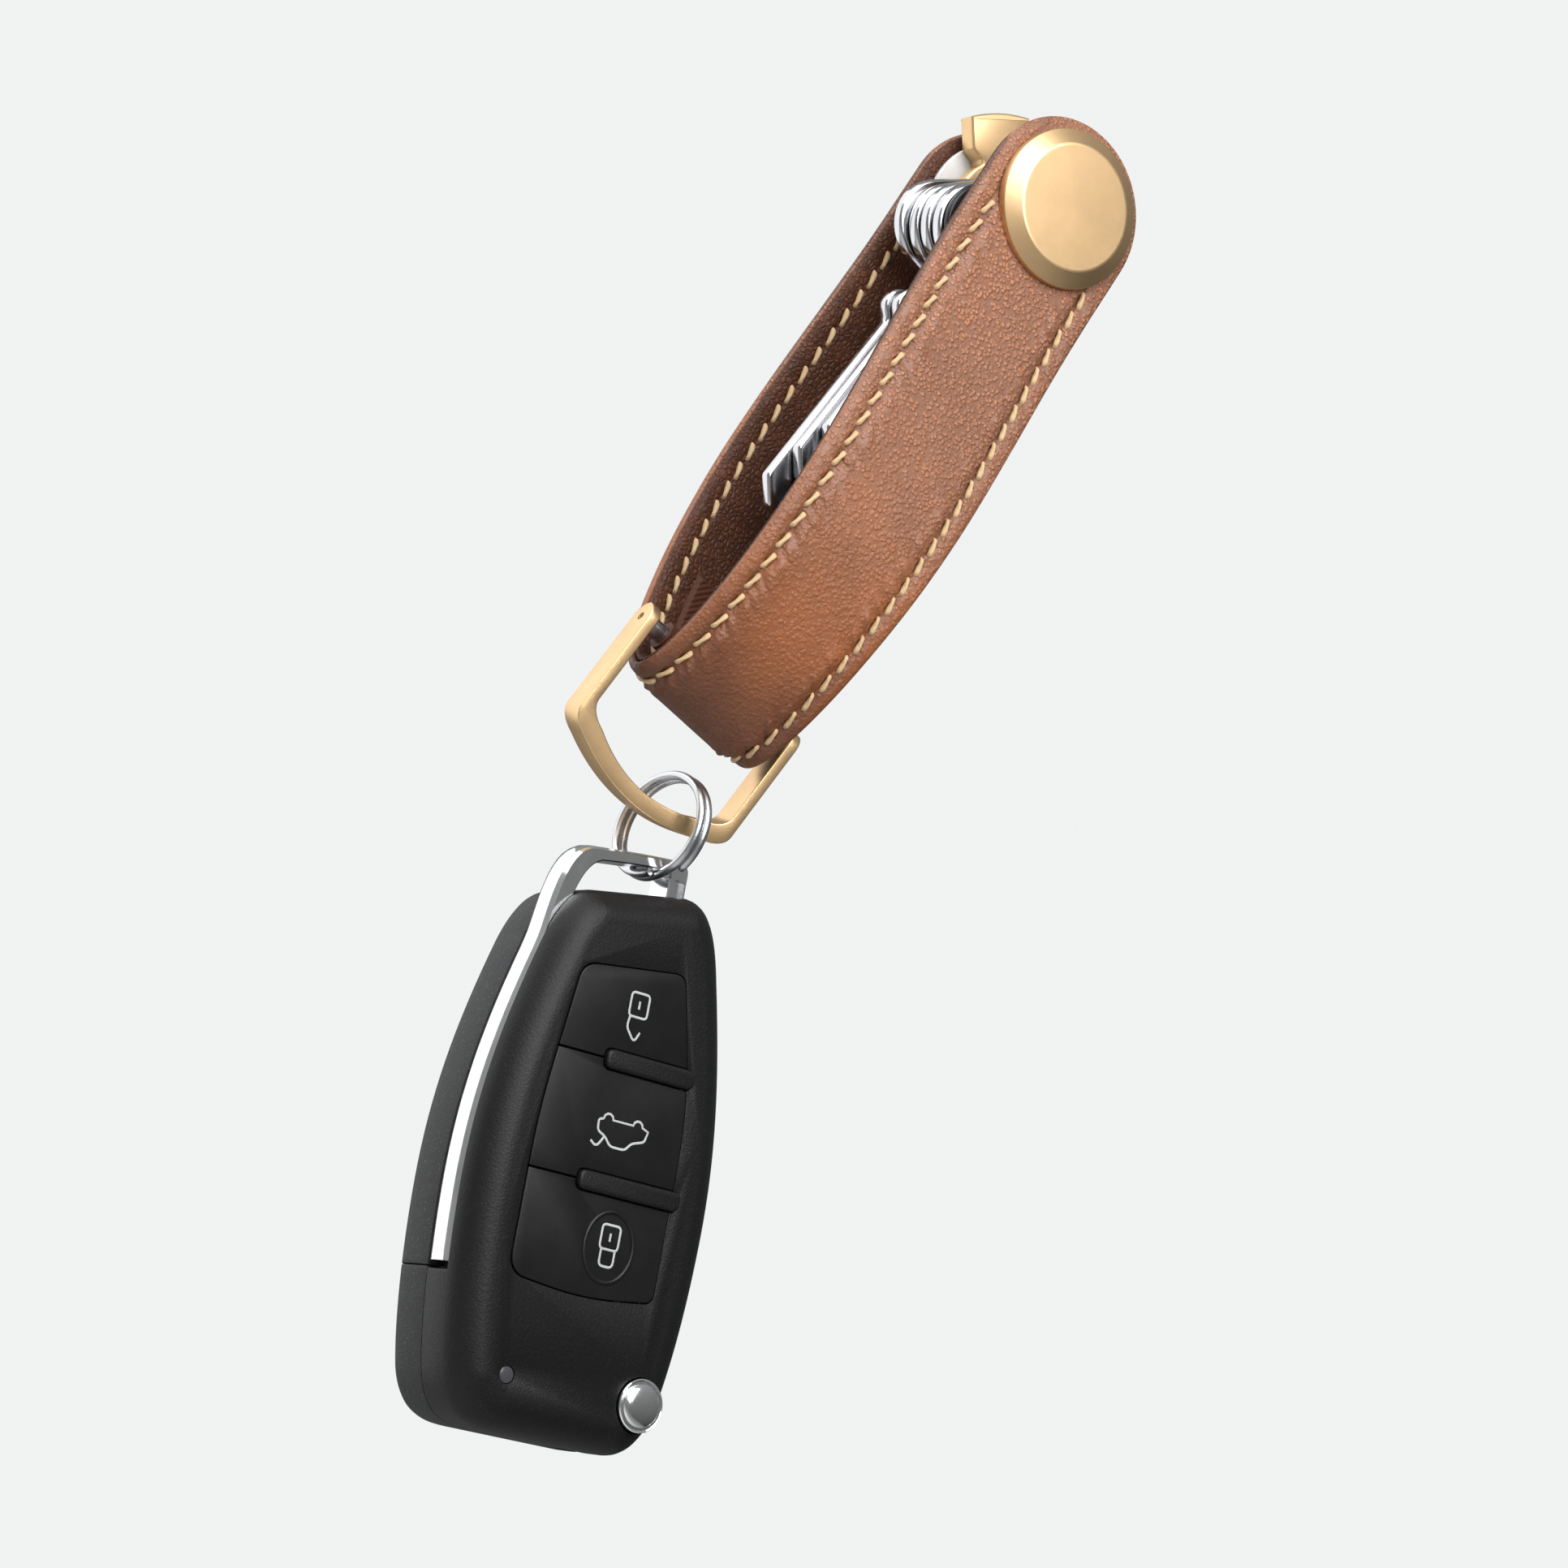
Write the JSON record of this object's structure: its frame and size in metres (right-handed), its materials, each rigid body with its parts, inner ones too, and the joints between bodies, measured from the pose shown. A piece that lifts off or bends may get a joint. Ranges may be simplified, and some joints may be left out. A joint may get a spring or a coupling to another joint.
{
  "type": "key organiser",
  "caption": "Folded leather key sleeve with round screw discs, swinging keys, D-ring, split ring and a remote flip key.",
  "frame": {"origin": "centre of the front disc's flat face", "axes": "+X across the strap, +Y from the front disc to the back disc, +Z along the strap from the bend to the disc end"},
  "size_m": [0.054, 0.0239, 0.1684],
  "materials": {
    "tan_leather": "pebble grained and waxed",
    "lining_leather": "fine grain, unwaxed",
    "ribbed_lining": "embossed ribs",
    "cream_thread": "waxed sewing thread",
    "gold": "bead blasted, spun on the flat faces",
    "white_nylon": "moulded",
    "nickel": "polished nickel",
    "black_cap": "moulded",
    "steel": "drawn and polished",
    "black_shell": "fine spark texture",
    "grey_shell": "fine spark texture",
    "chrome": "plated",
    "black_button": "satin",
    "smoked_lens": "smoked",
    "green_board": "solder resist",
    "rubber_mat": "moulded"
  },
  "bodies": {
    "strap": {"outer_leather": "tan_leather", "lining_leather": "lining_leather", "ribbed_grip": "ribbed_lining", "stitching_left": "cream_thread", "stitching_right": "cream_thread", "front_disc": "gold", "rear_washer": "white_nylon", "bar_sleeve": "ribbed_lining"},
    "back_disc": {"back_disc": "gold"},
    "key_1": {"key_1": "steel", "key_1_cap": "black_cap"},
    "key_2": {"key_2": "nickel"},
    "key_3": {"key_3": "nickel"},
    "key_4": {"key_4": "nickel"},
    "pull_tab": {"pull_tab": "gold"},
    "d_ring": {"d_ring": "gold", "spring_bar": "steel"},
    "split_ring": {"split_ring": "steel"},
    "fob": {"front_shell": "black_shell", "back_cover": "grey_shell", "back_housing": "grey_shell", "chrome_band": "chrome", "led_lens": "smoked_lens", "divider_bar_1": "black_button", "divider_bar_2": "black_button", "pivot_pin": "steel", "keypad_mat": "rubber_mat", "circuit_board": "green_board", "coin_cell": "steel"},
    "unlock_button": {"unlock_button": "black_button"},
    "boot_button": {"boot_button": "black_button"},
    "lock_button": {"lock_button": "black_button"},
    "release_button": {"release_button": "chrome"},
    "flip_blade": {"flip_blade": "nickel"}
  },
  "joints": [
    {"name": "back_disc_turn", "type": "hinge", "parent": "strap", "child": "back_disc", "pos_m": [0, 0.01122, 0], "axis": [0, 1, 0], "continuous": true},
    {"name": "key_1_swing", "type": "hinge", "parent": "strap", "child": "key_1", "pos_m": [0, 0.01122, 0], "axis": [0, 1, 0], "continuous": true},
    {"name": "key_2_swing", "type": "hinge", "parent": "strap", "child": "key_2", "pos_m": [0, 0.01122, 0], "axis": [0, 1, 0], "continuous": true},
    {"name": "key_3_swing", "type": "hinge", "parent": "strap", "child": "key_3", "pos_m": [0, 0.01122, 0], "axis": [0, 1, 0], "continuous": true},
    {"name": "key_4_swing", "type": "hinge", "parent": "strap", "child": "key_4", "pos_m": [0, 0.01122, 0], "axis": [0, 1, 0], "continuous": true},
    {"name": "pull_tab_swing", "type": "hinge", "parent": "strap", "child": "pull_tab", "pos_m": [0, 0.01122, 0], "axis": [0, 1, 0], "continuous": true},
    {"name": "d_ring_swing", "type": "hinge", "parent": "strap", "child": "d_ring", "pos_m": [0, 0.01122, -0.07], "axis": [1, 0, 0], "range_deg": [-85, 75]},
    {"name": "split_ring_swing", "type": "hinge", "parent": "d_ring", "child": "split_ring", "pos_m": [0.00535, 0.0137, -0.0863], "axis": [1, 0, 0], "range_deg": [-30, 30]},
    {"name": "fob_swing", "type": "hinge", "parent": "split_ring", "child": "fob", "pos_m": [0.00672, 0.0137, -0.09229], "axis": [0, 1, 0], "range_deg": [0, 24]},
    {"name": "unlock_button_press", "type": "slide", "parent": "fob", "child": "unlock_button", "axis": [-0.0538, 0.9938, -0.0976], "range_m": [0, 0.0006], "stiffness_N_per_m": 300},
    {"name": "boot_button_press", "type": "slide", "parent": "fob", "child": "boot_button", "axis": [-0.0538, 0.9938, -0.0976], "range_m": [0, 0.0006], "stiffness_N_per_m": 300},
    {"name": "lock_button_press", "type": "slide", "parent": "fob", "child": "lock_button", "axis": [-0.0538, 0.9938, -0.0976], "range_m": [0, 0.0006], "stiffness_N_per_m": 300},
    {"name": "release_button_press", "type": "slide", "parent": "fob", "child": "release_button", "axis": [-0.0538, 0.9938, -0.0976], "range_m": [0, 0.0012], "stiffness_N_per_m": 300},
    {"name": "blade_flip", "type": "hinge", "parent": "fob", "child": "flip_blade", "pos_m": [0.0364, 0.01133, -0.14316], "axis": [-0.0538, 0.9938, -0.0976], "range_deg": [0, 176]}
  ]
}
